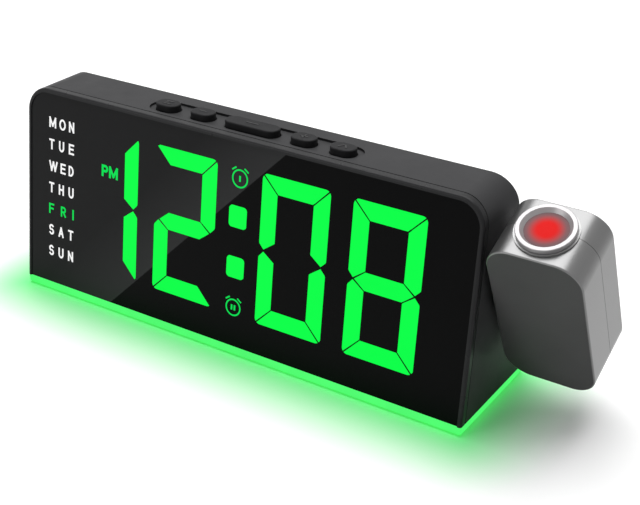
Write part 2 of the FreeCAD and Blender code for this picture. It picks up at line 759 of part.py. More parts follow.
def make_rear():
    parts = {}
    cover = body_outline(WALL + FIT, 0.3).common(rear_slab(REAR_SUNK, REAR_SUNK + REAR_T))
    x0, x1 = DOOR_X - DOOR_W / 2, DOOR_X + DOOR_W / 2
    y0, y1 = DOOR_UP, DOOR_UP + DOOR_H
    ledge = DOOR_LEDGE
    tray_low = cell_floor() - TRAY_FLOOR_T
    tray_high = -REAR_SUNK - CELL_TRAY_SUNK
    tray = rounded_box(x0 - ledge, x1 + ledge, y0 - ledge, y1 + ledge, tray_low, tray_high, CELL_TRAY_R)
    cavity = rounded_box(x0 + ledge, x1 - ledge, y0 + ledge, y1 - ledge, cell_floor(), PAST, DOOR_R)
    clear = DOOR_CLEAR
    seat_low = -REAR_SUNK - DOOR_T
    seat = rounded_box(x0 - clear, x1 + clear, y0 - clear, y1 + clear, seat_low, PAST, DOOR_R)
    cover = cover.fuse(place_rear(tray)).cut(place_rear(cavity)).cut(place_rear(seat))
    for i in range(VENT_COUNT):
        v = VENT_UP + (i - (VENT_COUNT - 1) / 2) * VENT_STEP
        cover = cover.cut(place_rear(rounded_bar(VENT_X, v, VENT_L, VENT_W, -COVER_CUT, PAST)))
    mouth = 2 * (SOCKET_WALL + FIT)
    inlet = rounded_bar(SOCKET_X, SOCKET_UP, SOCKET_W + mouth, SOCKET_H + mouth, -COVER_CUT, PAST)
    cover = cover.cut(place_rear(inlet))
    screws = []
    for u, v in rear_screw_spots():
        cover = cover.cut(place_rear(cylinder(SCREW_R + SCREW_CLEAR, u, v, -REAR_BOSS_L, PAST)))
        cover = cover.cut(place_rear(cylinder(SCREW_HEAD_R + SCREW_CLEAR, u, v, -REAR_SUNK - SCREW_SINK, PAST)))
        head = cylinder(SCREW_HEAD_R, u, v, -REAR_SUNK - SCREW_SINK, -REAR_SUNK + REAR_SCREW_PROUD)
        head = head.cut(cross_slot(u, v, -REAR_SUNK - SCREW_CROSS_DEEP))
        shank = cylinder(SCREW_R, u, v, -REAR_SUNK - REAR_T - REAR_SCREW_LONG, -REAR_SUNK - SCREW_SINK)
        screws.append(place_rear(head.fuse(shank)))
    parts["rear_cover"] = cover.removeSplitter()
    parts["rear_screws"] = Part.makeCompound(screws)

    door = rounded_box(x0, x1, y0, y1, -REAR_SUNK - DOOR_T + FIT, -REAR_SUNK, DOOR_R)
    notch = rounded_bar(DOOR_X, y1 - NOTCH_IN, NOTCH_L, NOTCH_W, -REAR_SUNK - NOTCH_DEEP, PAST)
    parts["battery_door"] = place_rear(door.cut(notch))
    parts["backup_cell"] = place_rear(cylinder(CELL_R, DOOR_X, (y0 + y1) / 2, cell_floor(), cell_floor() + CELL_T))
    clip_x = DOOR_X + CELL_R + CLIP_GAP
    clip = box(clip_x, clip_x + CLIP_T, (y0 + y1 - CLIP_W) / 2, (y0 + y1 + CLIP_W) / 2,
               cell_floor(), cell_floor() + CELL_T)
    parts["cell_contact"] = place_rear(clip)

    top = -REAR_SUNK - REAR_T
    buzzer = cylinder(BUZZER_R, VENT_X, VENT_UP, top - BUZZER_T, top)
    sound_hole = cylinder(BUZZER_R - BUZZER_RIM, VENT_X, VENT_UP, top - 1.0, top + 1.0)
    parts["buzzer"] = place_rear(buzzer.cut(sound_hole))

    wall = 2 * SOCKET_WALL
    low = -REAR_SUNK - SOCKET_SUNK - SOCKET_DEEP
    shell = rounded_bar(SOCKET_X, SOCKET_UP, SOCKET_W + wall, SOCKET_H + wall, low, -REAR_SUNK - SOCKET_SUNK)
    bore = rounded_bar(SOCKET_X, SOCKET_UP, SOCKET_W, SOCKET_H, low + SOCKET_BACK_T, PAST)
    wide, thick, long = TONGUE
    tongue = box(SOCKET_X - wide / 2, SOCKET_X + wide / 2, SOCKET_UP - thick / 2, SOCKET_UP + thick / 2,
                 low + SOCKET_BACK_T / 2, low + SOCKET_BACK_T + long)
    parts["power_socket"] = place_rear(shell.cut(bore).fuse(tongue).removeSplitter())
    under = SOCKET_UP - SOCKET_H / 2 - SOCKET_WALL
    shelf = box(SOCKET_X - SOCKET_BOARD_W / 2, SOCKET_X + SOCKET_BOARD_W / 2, under - SOCKET_BOARD_T, under,
                low - SOCKET_BOARD_PAST, top)
    parts["socket_board"] = place_rear(shelf)
    return parts


def cross_slot(u, v, low):
    arm = SCREW_CROSS_ARM
    half = SCREW_CROSS_HALF
    first = box(u - arm, u + arm, v - half, v + half, low, low + PAST)
    return first.fuse(box(u - half, u + half, v - arm, v + arm, low, low + PAST))


# Hinge between the clock and the head

def make_hinge():
    inside = RIGHT - WALL - BUSH_FLANGE_T
    flange = hinge_cylinder(BUSH_FLANGE_R, inside, RIGHT - WALL)
    bush = hinge_cylinder(BUSH_R - FIT, RIGHT - WALL, RIGHT).fuse(flange)
    bush = bush.cut(hinge_cylinder(SPINDLE_R + RUNNING, inside - 1, RIGHT + 1)).removeSplitter()
    wall_start = RIGHT + HEAD_GAP
    wall_end = wall_start + HEAD_WALL
    nut_end = inside - REST_GAP - WASHER_T - NUT_T
    spindle = fuse([
        hinge_cylinder(SPINDLE_R, nut_end - SPINDLE_PAST, wall_end + KEEPER_T),
        hinge_cylinder(COLLAR_R, RIGHT + COLLAR_GAP, wall_start),
        hinge_cylinder(KEEPER_R, wall_end, wall_end + KEEPER_T),
    ]).cut(hinge_cylinder(SPINDLE_BORE_R, nut_end - 2, wall_end + KEEPER_T + 2))
    washer = hinge_cylinder(WASHER_R, inside - REST_GAP - WASHER_T, inside - REST_GAP)
    washer = washer.cut(hinge_cylinder(SPINDLE_R + FIT, inside - PAST, inside + PAST))
    nut = hinge_cylinder(NUT_R, nut_end, nut_end + NUT_T)
    flats = [(HINGE_Y - NUT_FLAT, HINGE_Y + NUT_FLAT)]
    for y0, y1 in flats:
        nut = nut.common(box(nut_end - 1, nut_end + NUT_T + 1, y0, y1, HINGE_UP - FAR, HINGE_UP + FAR))
    nut = nut.cut(hinge_cylinder(SPINDLE_R, nut_end - 1, nut_end + NUT_T + 1))
    return {"hinge_bush": bush, "hinge_spindle": spindle, "hinge_washer": washer, "hinge_nut": nut}


# Projector head, drawn upright with the hinge at its origin

def head_profile(inset):
    """The head's outline seen from the front, pulled through its depth."""
    x0 = RIGHT + HEAD_GAP + inset
    x1 = RIGHT + HEAD_GAP + HEAD_W - inset
    z1 = HEAD_H / 2 - inset
    return upright_prism([(x0, -z1), (x1, -z1), (x1, z1), (x0, z1)], [HEAD_R - inset] * 4)


def depth_box(y0, y1):
    return box(-FAR, FAR, y0, y1, -FAR, FAR)


def lens_x():
    return RIGHT + HEAD_GAP + HEAD_W / 2


def make_head_shells():
    half = HEAD_DEPTH / 2
    block = head_profile(0.0).common(depth_box(-half, half))
    rims = [e for e in block.Edges
            if all(abs(abs(v.Point.y) - half) < 1e-4 for v in e.Vertexes)
            and abs(e.Vertexes[0].Point.y - e.Vertexes[-1].Point.y) < 1e-4]
    block = block.makeFillet(EDGE_SOFT, rims)
    hollow = head_profile(HEAD_WALL).common(depth_box(-half + HEAD_WALL, half - HEAD_WALL))
    shell = block.cut(hollow)
    hole = cylinder(BEZEL_NECK_R + FIT, lens_x(), 0, HEAD_H / 2 - HEAD_WALL - 1, HEAD_H / 2 + 1)
    side = Part.makeCylinder(SPINDLE_R + FIT, HEAD_WALL + 2, Vector(RIGHT + HEAD_GAP - 1, 0, 0), Vector(1, 0, 0))
    shell = shell.cut(hole).cut(side)
    x0, x1 = RIGHT + HEAD_GAP + HEAD_WALL, RIGHT + HEAD_GAP + HEAD_W - HEAD_WALL
    board_low = TUNNEL_LOW - PROJECTOR_BOARD_T
    ledges = [box(a, b, -half + HEAD_WALL - LEDGE_BITE, half - HEAD_WALL + LEDGE_BITE, board_low - LEDGE_BLOCK, board_low)
              for a, b in ((x0 - LEDGE_BITE, x0 + LEDGE_BLOCK), (x1 - LEDGE_BLOCK, x1 + LEDGE_BITE))]
    shell = shell.fuse(ledges[0]).fuse(ledges[1]).removeSplitter()
    groove = head_profile(-PAST).cut(head_profile(HEAD_SEAM_DEEP))
    shell = shell.cut(groove.common(depth_box(HEAD_SEAM - HEAD_SEAM_W / 2, HEAD_SEAM + HEAD_SEAM_W / 2)))
    front = shell.common(depth_box(-FAR, HEAD_SEAM))
    rear = shell.common(depth_box(HEAD_SEAM, FAR))
    return {"head_front_shell": front, "head_rear_shell": rear}


def make_lens_parts():
    top, x = HEAD_H / 2, lens_x()
    bezel = tube(LENS_BEZEL_R, NECK_R + RUNNING, x, 0, top, top + LENS_BEZEL_T)
    neck_low = top - HEAD_WALL - NECK_BELOW_WALL
    bezel = bezel.fuse(tube(BEZEL_NECK_R, NECK_R + RUNNING, x, 0, neck_low, top)).removeSplitter()

    ring_low = top + LENS_BEZEL_T + RING_GAP
    ring = cylinder(RING_R, x, 0, ring_low, ring_low + RING_T)
    rim = [e for e in ring.Edges if all(abs(v.Point.z - ring_low - RING_T) < 1e-4 for v in e.Vertexes)]
    ring = ring.makeFillet(RING_SOFT, rim)
    seat = ring_low + RING_T - LENS_SEAT_DEEP
    neck = cylinder(NECK_R, x, 0, top - NECK_END, ring_low)
    ring = ring.fuse(neck).cut(cylinder(NECK_BORE_R, x, 0, top - NECK_END - PAST, ring_low + RING_T + PAST))
    ring = ring.cut(cylinder(LENS_R + FIT, x, 0, seat, ring_low + RING_T + PAST))
    bevel_low = seat + LENS_EDGE_T
    bevel_t = ring_low + RING_T - bevel_low
    bevel = Part.makeCone(LENS_R + FIT, RING_MOUTH_R, bevel_t, Vector(x, 0, bevel_low))
    ring = ring.cut(bevel).removeSplitter()

    edge = cylinder(LENS_R, x, 0, seat, seat + LENS_EDGE_T)
    dome_r = (LENS_R ** 2 + LENS_DOME ** 2) / (2 * LENS_DOME)
    ball = Part.makeSphere(dome_r, Vector(x, 0, seat + LENS_EDGE_T + LENS_DOME - dome_r))
    dome = ball.common(cylinder(LENS_R, x, 0, seat, seat + LENS_EDGE_T + LENS_DOME))
    keep_top = neck_low - REST_GAP
    keeper = tube(KEEP_RING_R, NECK_R, x, 0, keep_top - KEEP_RING_T, keep_top)
    return {"lens_bezel": bezel, "focus_ring": ring, "projection_lens": edge.fuse(dome).removeSplitter(),
            "focus_keeper": keeper}


def make_projector():
    """What is behind the lens: light tunnel, slide, condenser lens, lamp and their board."""
    x, half = lens_x(), HEAD_DEPTH / 2
    x0 = RIGHT + HEAD_GAP + HEAD_WALL + BOARD_ROOM
    x1 = RIGHT + HEAD_GAP + HEAD_W - HEAD_WALL - BOARD_ROOM
    tunnel_top = HEAD_H / 2 - NECK_END - TUNNEL_GAP
    tunnel = tube(TUNNEL_R, TUNNEL_BORE_R, x, 0, TUNNEL_LOW, tunnel_top)
    deep = half - HEAD_WALL - BOARD_ROOM
    board = box(x0, x1, -deep, deep, TUNNEL_LOW - PROJECTOR_BOARD_T, TUNNEL_LOW)
    lamp_top = TUNNEL_LOW + PROJECTOR_LED_R
    lamp = cylinder(PROJECTOR_LED_R, x, 0, TUNNEL_LOW, lamp_top)
    lamp = lamp.fuse(Part.makeSphere(PROJECTOR_LED_R, Vector(x, 0, lamp_top)))
    slide = cylinder(TUNNEL_BORE_R - FIT, x, 0, SLIDE_Z, SLIDE_Z + SLIDE_T)
    glass_r = TUNNEL_BORE_R - FIT
    bulge = (glass_r ** 2 + CONDENSER_T ** 2) / (2 * CONDENSER_T)
    ball = Part.makeSphere(bulge, Vector(x, 0, CONDENSER_Z + CONDENSER_T - bulge))
    condenser = ball.common(cylinder(glass_r, x, 0, CONDENSER_Z, CONDENSER_Z + CONDENSER_T))
    return {"light_tunnel": tunnel, "projector_board": board, "projector_led": lamp, "projector_slide": slide,
            "condenser_lens": condenser}


def make_all():
    parts = make_display()
    parts["front_bezel"] = make_bezel()
    parts["housing"] = make_housing()
    parts.update(make_base())
    parts.update(make_buttons())
    parts.update(make_rear())
    parts.update(make_hinge())
    for name, shape in {**make_head_shells(), **make_lens_parts(), **make_projector()}.items():
        parts[name] = place_head(shape)
    return parts


def main():
    os.makedirs("parts", exist_ok=True)
    for name, shape in make_all().items():
        solids = shape.Solids
        whole = all(s.isValid() for s in solids)
        size = shape.BoundBox
        print(name, len(solids), "valid" if whole else "NOT VALID",
              f"{size.XLength:.1f} x {size.YLength:.1f} x {size.ZLength:.1f}")
        kept = solids[0] if len(solids) == 1 else Part.makeCompound(solids)
        kept.exportStep(f"parts/{name}.step")


main()
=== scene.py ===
import bpy
import json
import math
from mathutils import Matrix, Vector


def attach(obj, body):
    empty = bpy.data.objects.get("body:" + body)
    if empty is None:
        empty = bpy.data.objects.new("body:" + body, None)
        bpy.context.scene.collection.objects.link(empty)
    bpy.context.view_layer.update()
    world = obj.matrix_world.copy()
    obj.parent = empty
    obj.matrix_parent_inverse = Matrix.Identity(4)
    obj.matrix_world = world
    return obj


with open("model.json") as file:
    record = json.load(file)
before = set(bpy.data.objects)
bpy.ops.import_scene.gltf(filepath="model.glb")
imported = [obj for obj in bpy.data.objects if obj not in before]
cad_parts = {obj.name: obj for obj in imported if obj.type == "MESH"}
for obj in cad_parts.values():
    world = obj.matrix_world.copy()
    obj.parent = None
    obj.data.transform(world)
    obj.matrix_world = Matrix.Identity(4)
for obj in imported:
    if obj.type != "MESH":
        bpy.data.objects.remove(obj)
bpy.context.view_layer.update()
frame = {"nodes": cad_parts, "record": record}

# A projection alarm clock on a white table: a wedge-shaped body, green digits and a silver projector head.
# Metres. The clock's front leans back, so everything on its window is placed in the window's own plane.

MM = 0.001

# The clock, as it is built
BODY_LEFT = -106.15 * MM
BODY_RIGHT = 73.85 * MM
BODY_FRONT = -22.845 * MM
BODY_DEPTH = 44.0 * MM
BODY_LOW = 3.3 * MM
BODY_H = 71.8 * MM
TOP_Z = BODY_LOW + BODY_H
FRONT_LEAN = 9.3 * MM
WINDOW_SUNK = 0.4 * MM
HEAD_W = 29.9 * MM
HEAD_H = 57.7 * MM
HEAD_GAP = 2.4 * MM
HEAD_TILT = math.radians(23.9)
HINGE_BACK = 23.9 * MM
HINGE_UP = 43.0 * MM
HINGE = Vector((0.0, BODY_FRONT + HINGE_BACK, HINGE_UP))

# The painted reflection on the window: its slanting edge, from the body's left and foot, and its fading to
# the left
EDGE_TOP_X = 109.6 * MM
EDGE_TOP_Z = 69.5 * MM
EDGE_FOOT_X = 39.7 * MM
EDGE_SOFT = 0.2 * MM
SHEEN_FADE = 32.0 * MM
SHEEN_KEPT = 0.46
WINDOW_DARK = (0.0018, 0.0018, 0.0019)
PAINTED_REFLECTION = (0.034, 0.034, 0.035)

# The lens: red out to one radius, and its edge colour from another
LENS_UP = 1.5 * MM
LENS_RED_R = 2.4 * MM
LENS_EDGE_R = 6.3 * MM
LENS_RED = (0.58, 0.008, 0.007)
LENS_EDGE = (0.15, 0.088, 0.093)
LENS_GLOW = 0.16

# The grain and unevenness of the finishes: noise scales are per metre
NOISE_LOW = 0.3
NOISE_HIGH = 0.7
NOISE_ROUGH = 0.55
CLOUD_SCALE = 35.0
SMEAR_SCALE = 120.0
GLOW_SCALE = 60.0
DUST_SCALE = 90.0
LENS_DUST_SCALE = 300.0
BRUSH_SCALE = 260.0
GRAIN_DEPTH = 0.05 * MM
SILVER = (0.165, 0.165, 0.165)

# Moulded plastics, by slot
PLASTICS = {
    "housing_plastic": {"colour": (0.044, 0.044, 0.0455), "rough": 0.42, "grain": 0.12, "gloss": 0.03},
    "bezel_plastic": {"colour": (0.019, 0.019, 0.020), "rough": 0.30, "gloss": 0.1},
    "button_plastic": {"colour": (0.019, 0.019, 0.020), "rough": 0.5, "grain": 0.35, "grain_scale": 1100.0,
                       "gloss": 0.05},
    "button_mark": {"colour": (0.036, 0.036, 0.037), "rough": 0.4, "gloss": 0.1},
    # The head's flat front: painted shade, a darker satin than the brushed silver around it
    "head_face_painted_shade": {"colour": (0.070, 0.068, 0.070), "rough": 0.5, "grain": 0.08, "gloss": 0.05},
    "rear_plastic": {"colour": (0.024, 0.024, 0.026), "rough": 0.55, "grain": 0.5},
    "door_plastic": {"colour": (0.024, 0.024, 0.026), "rough": 0.55, "grain": 0.5},
    "base_plastic": {"colour": (0.02, 0.02, 0.02), "rough": 0.55, "grain": 0.3},
    "foot_rubber": {"colour": (0.015, 0.015, 0.015), "rough": 0.8, "grain": 0.4},
    "hinge_nylon": {"colour": (0.012, 0.012, 0.012), "rough": 0.45},
    "hinge_black": {"colour": (0.012, 0.012, 0.012), "rough": 0.4},
    "tunnel_black": {"colour": (0.01, 0.01, 0.01), "rough": 0.6},
    "white_plastic": {"colour": (0.70, 0.70, 0.69), "rough": 0.5, "grain": 0.1},
    "circuit_board": {"colour": (0.02, 0.14, 0.06), "rough": 0.4, "grain": 0.2, "grain_scale": 900.0},
    "lamp_resin": {"colour": (0.80, 0.80, 0.70), "rough": 0.25},
    "chip_resin": {"colour": (0.02, 0.02, 0.02), "rough": 0.5, "grain": 0.2},
    "unlit_segment": {"colour": (0.10, 0.13, 0.10), "rough": 0.4},
    "slide_film": {"colour": (0.03, 0.03, 0.03), "rough": 0.15},
    "clear_lens": {"colour": (0.6, 0.6, 0.62), "rough": 0.05, "coat": 0.5},
}

# Lit pieces, by slot
GLOWS = {
    "lit_segment": {"colour": (0.0, 1.0, 0.065), "strength": 1.0, "edge": 0.04},
    "light_ring": {"colour": (0.085, 0.96, 0.17), "strength": 1.0, "edge": 0.12, "body": (0.01, 0.10, 0.02)},
    "print_green": {"colour": (0.0, 1.0, 0.12), "strength": 0.75, "edge": 0.05},
    "print_white": {"colour": (1.0, 1.0, 1.0), "strength": 0.9, "edge": 0.05, "body": (0.1, 0.1, 0.1)},
}

# Metals and metal-like coatings, by slot
METALS = {
    "screw_steel": {"colour": (0.45, 0.45, 0.46), "rough": 0.3},
    "cell_steel": {"colour": (0.6, 0.6, 0.6), "rough": 0.25},
    "contact_metal": {"colour": (0.6, 0.45, 0.2), "rough": 0.3},
    "socket_steel": {"colour": (0.5, 0.5, 0.5), "rough": 0.3},
    "head_front_silver": {"colour": SILVER, "rough": 0.32, "metal": 0.85},
    "head_rear_silver": {"colour": SILVER, "rough": 0.32, "metal": 0.85},
    "bezel_silver": {"colour": (0.26, 0.26, 0.26), "rough": 0.34, "metal": 0.6},
    "ring_chrome": {"colour": (0.34, 0.33, 0.335), "rough": 0.38, "metal": 0.5, "streak": (1.0, 1.0, 1.0)},
}

# How square to the head's front a face is, and how near its plane, to be a part of the flat front that takes
# the painted shade
FACE_SQUARE = 0.99
FACE_NEAR = 0.2 * MM

# The table round the clock
TABLE_SIZE = 8.0
TABLE_COLOUR = (0.86, 0.86, 0.86)
# The lit base ring's green glow, painted into the table's colour near the clock
PAINTED_GLOW_COLOUR = (0.085, 0.80, 0.19)
PAINTED_GLOW_START = -9.0 * MM
PAINTED_GLOW_REACH = 32.0 * MM
TABLE_LIFT = 0.22
FAR_START = 0.5
FAR_END = 2.2
FAR_LIFT = 1.0

# The light of the room, and how bright the room itself looks
ROOM_LIGHT = 0.14
ROOM_SEEN = 1.0

# Each lamp's name, place, what it faces, its size and its power in watts
LAMPS = (
    ("overhead", (-0.15, 0.25, 1.3), (0, 0, 0), (1.3, 1.3), 27.0),
    ("front_fill", (-0.9, -1.5, 0.42), (0.08, 0, 0.05), (0.9, 0.4), 6.0),
)

# The camera of the photo
LENS = 72.50
SENSOR = 36.0
CAMERA_AT = Vector((215.081, -316.7, 230.851)) * MM
CAMERA_YAW = math.radians(-33.162)
CAMERA_PITCH = math.radians(25.078)
SHIFT_Y = -0.082
CLIP_START = 0.01

# Printing on the window: places are from the body's left and foot
PRINT_T = 0.06 * MM
ROWS = ("MON", "TUE", "WED", "THU", "FRI", "SAT", "SUN")
LIT_ROW = "FRI"
ROW_LEFT = 10.0 * MM
ROW_WIDTH = 11.8 * MM
ROW_HIGH = 3.9 * MM
ROW_TOP = 58.2 * MM
ROW_STEP = 7.98 * MM
ROW_STROKE = 0.70 * MM
AFTERNOON_LEFT = 34.7 * MM
AFTERNOON_LOW = 45.9 * MM
AFTERNOON_HIGH = 4.3 * MM
AFTERNOON_WIDTH = 7.4 * MM
AFTERNOON_STROKE = 0.92 * MM
AFTERNOON_BROAD = 1.12
ALARM_LINE = 0.55 * MM
ALARM_HAND_W = 1.3 * ALARM_LINE
ALARM_HAND_STEP = 1.2 * MM

# Each alarm mark's name, place across and up, radius and number of hands
ALARM_MARKS = (
    ("alarm_mark_high", 93.4 * MM, 58.5 * MM, 2.9 * MM, 1),
    ("alarm_mark_low", 93.3 * MM, 13.9 * MM, 2.8 * MM, 2),
)

# Each letter is a few strokes in a cell 1 wide and 1 high. A stroke is a list of points, and an arc is
# ("arc", centre x, centre y, radius across, radius up, start, end) with its angles in degrees.
LETTERS = {
    "A": [[(0, 0), (0.5, 1), (1, 0)], [(0.18, 0.32), (0.82, 0.32)]],
    "D": [[(0, 0), (0, 1)], ("arc", 0.3, 0.5, 0.65, 0.5, -90, 90), [(0, 1), (0.3, 1)], [(0, 0), (0.3, 0)]],
    "E": [[(1, 1), (0, 1), (0, 0), (1, 0)], [(0, 0.52), (0.88, 0.52)]],
    "F": [[(1, 1), (0, 1), (0, 0)], [(0, 0.5), (0.85, 0.5)]],
    "H": [[(0, 0), (0, 1)], [(1, 0), (1, 1)], [(0, 0.52), (1, 0.52)]],
    "I": [[(0.5, 0), (0.5, 1)]],
    "M": [[(0, 0), (0, 1), (0.5, 0.12), (1, 1), (1, 0)]],
    "N": [[(0, 0), (0, 1), (1, 0), (1, 1)]],
    "O": [("arc", 0.5, 0.5, 0.52, 0.52, 0, 360)],
    "P": [[(0, 0), (0, 1), (0.55, 1)], ("arc", 0.55, 0.73, 0.42, 0.27, -90, 90), [(0.55, 0.46), (0, 0.46)]],
    "R": [[(0, 0), (0, 1), (0.55, 1)], ("arc", 0.55, 0.73, 0.42, 0.27, -90, 90), [(0.55, 0.46), (0, 0.46)],
          [(0.5, 0.46), (1, 0)]],
    "S": [("arc", 0.5, 0.745, 0.45, 0.27, 20, 255), ("arc", 0.5, 0.26, 0.47, 0.27, -165, 90)],
    "T": [[(0, 1), (1, 1)], [(0.5, 0), (0.5, 1)]],
    "U": [[(0, 1), (0, 0.36)], ("arc", 0.5, 0.36, 0.5, 0.38, 180, 360), [(1, 0.36), (1, 1)]],
    "W": [[(0, 1), (0.25, 0), (0.5, 0.95), (0.75, 0), (1, 1)]],
}
LETTER_W = {"M": 0.84, "W": 1.04, "I": 0.10, "O": 0.76}
LETTER_USUAL_W = 0.64
ARC_STEPS = 20
ARC_OVERLAP = 0.2
RING_STEPS = 48

# Marks on the buttons
BUTTON_TOP = TOP_Z + 1.6 * MM
BUTTON_X = BODY_LEFT + 90.8 * MM
BUTTON_Y = BODY_FRONT + 18.9 * MM
MARK_T = 0.12 * MM
MARK_W = 0.5 * MM

# Each button's name, its place along the tray and its mark's strokes from its middle, in millimetres
BUTTON_MARKS = (
    ("set", -34.8, [((-1.5, -1.0), (1.5, -1.0)), ((-1.5, 1.0), (1.5, 1.0)), ((-1.5, 0.0), (0.4, 0.0))]),
    ("minus", -20.1, [((-1.5, 0.0), (1.5, 0.0))]),
    ("snooze", 0.0, [((-2.4, 0.0), (2.4, 0.0))]),
    ("plus", 20.1, [((-1.5, 0.0), (1.5, 0.0)), ((0.0, -1.5), (0.0, 1.5))]),
    ("projection", 34.8, [((-1.5, -1.0), (0.0, 1.1)), ((1.5, -1.0), (0.0, 1.1))]),
)


# Shader helpers

def material(name):
    mat = bpy.data.materials.new(name)
    mat.use_nodes = True
    nodes = mat.node_tree.nodes
    return mat, nodes, mat.node_tree.links, nodes["Principled BSDF"]


def object_place(nodes):
    """Coordinates that stay on the object, wherever the object is."""
    return nodes.new("ShaderNodeTexCoord").outputs["Object"]


def object_noise(nodes, links, scale, detail=4.0):
    noise = nodes.new("ShaderNodeTexNoise")
    noise.inputs["Scale"].default_value = scale
    noise.inputs["Detail"].default_value = detail
    noise.inputs["Roughness"].default_value = NOISE_ROUGH
    links.new(object_place(nodes), noise.inputs["Vector"])
    return noise.outputs["Fac"]


def map_span(nodes, links, source, start, end, low=0.0, high=1.0, smooth=False):
    """Turns a source from start to end into a factor from low to high, held at both ends."""
    span = nodes.new("ShaderNodeMapRange")
    if smooth:
        span.interpolation_type = "SMOOTHSTEP"
    span.inputs["From Min"].default_value = start
    span.inputs["From Max"].default_value = end
    span.inputs["To Min"].default_value = low
    span.inputs["To Max"].default_value = high
    links.new(source, span.inputs["Value"])
    return span.outputs["Result"]


def spread(nodes, links, noise, low, high):
    """Stretches the usual span of a noise over the range from low to high."""
    return map_span(nodes, links, noise, NOISE_LOW, NOISE_HIGH, low, high)


def blend_colours(nodes, links, factor, dark, light):
    blend = nodes.new("ShaderNodeMix")
    blend.data_type = "RGBA"
    blend.inputs["A"].default_value = (*dark, 1)
    blend.inputs["B"].default_value = (*light, 1)
    links.new(factor, blend.inputs["Factor"])
    return blend.outputs["Result"]


def maths(nodes, links, operation, *values):
    """A sum whose values are sockets or plain numbers."""
    node = nodes.new("ShaderNodeMath")
    node.operation = operation
    for socket, value in zip(node.inputs, values):
        if isinstance(value, bpy.types.NodeSocket):
            links.new(value, socket)
        else:
            socket.default_value = value
    return node.outputs[0]


def vector_maths(nodes, links, operation, source, constant=None):
    """A sum on a vector source, with a constant vector where the operation needs one."""
    node = nodes.new("ShaderNodeVectorMath")
    node.operation = operation
    links.new(source, node.inputs[0])
    if constant is not None:
        node.inputs[1].default_value = constant
    result = "Value" if operation in ("LENGTH", "DISTANCE") else "Vector"
    return node.outputs[result]


def seen_directly(nodes, links):
    """1 for what the camera sees, also in a reflection or through glass, and 0 for other light."""
    path = nodes.new("ShaderNodeLightPath")
    factor = path.outputs["Is Camera Ray"]
    for kind in ("Is Glossy Ray", "Is Transmission Ray"):
        factor = maths(nodes, links, "MAXIMUM", factor, path.outputs[kind])
    return factor


# Kinds of finish

def plastic(name, colour, rough, grain=0.0, grain_scale=2500.0, variation=0.08, coat=0.0, gloss=0.3):
    """Moulded plastic: a little unevenness in colour and gloss, and a fine moulded grain."""
    mat, nodes, links, shader = material(name)
    factor = spread(nodes, links, object_noise(nodes, links, CLOUD_SCALE), 0.0, 1.0)
    dark = tuple(c * (1 - variation) for c in colour)
    light = tuple(min(c * (1 + variation), 1.0) for c in colour)
    links.new(blend_colours(nodes, links, factor, dark, light), shader.inputs["Base Color"])
    smear = object_noise(nodes, links, SMEAR_SCALE, 6.0)
    links.new(spread(nodes, links, smear, rough * 0.85, rough * 1.15), shader.inputs["Roughness"])
    shader.inputs["Metallic"].default_value = 0.0
    shader.inputs["Coat Weight"].default_value = coat
    shader.inputs["Specular IOR Level"].default_value = gloss
    if grain:
        bump = nodes.new("ShaderNodeBump")
        bump.inputs["Strength"].default_value = grain
        bump.inputs["Distance"].default_value = GRAIN_DEPTH
        links.new(object_noise(nodes, links, grain_scale, 3.0), bump.inputs["Height"])
        links.new(bump.outputs["Normal"], shader.inputs["Normal"])
    return mat


def glow(name, colour, strength, edge, body=(0.0, 0.02, 0.002)):
    """Lit resin whose strength mottles slowly, down by the share called edge."""
    mat, nodes, links, shader = material(name)
    factor = spread(nodes, links, object_noise(nodes, links, GLOW_SCALE), 1.0 - edge, 1.0)
    shader.inputs["Base Color"].default_value = (*body, 1)
    shader.inputs["Roughness"].default_value = 0.35
    shader.inputs["Specular IOR Level"].default_value = 0.05
    shader.inputs["Emission Color"].default_value = (*colour, 1)
    links.new(maths(nodes, links, "MULTIPLY", factor, strength), shader.inputs["Emission Strength"])
    return mat


def brushed(name, colour, rough, metal=1.0, streak=(1.0, 0.06, 0.06)):
    """Satin silver with a faint brushed streak."""
    mat, nodes, links, shader = material(name)
    shape = nodes.new("ShaderNodeMapping")
    shape.inputs["Scale"].default_value = streak
    noise = nodes.new("ShaderNodeTexNoise")
    noise.inputs["Scale"].default_value = BRUSH_SCALE
    noise.inputs["Detail"].default_value = 5.0
    links.new(object_place(nodes), shape.inputs["Vector"])
    links.new(shape.outputs["Vector"], noise.inputs["Vector"])
    streaks = noise.outputs["Fac"]
    factor = spread(nodes, links, streaks, 0.0, 1.0)
    dark = tuple(c * 0.94 for c in colour)
    links.new(blend_colours(nodes, links, factor, dark, colour), shader.inputs["Base Color"])
    links.new(spread(nodes, links, streaks, rough * 0.94, rough * 1.06), shader.inputs["Roughness"])
    shader.inputs["Metallic"].default_value = metal
    shader.inputs["Specular IOR Level"].default_value = 0.2
    return mat


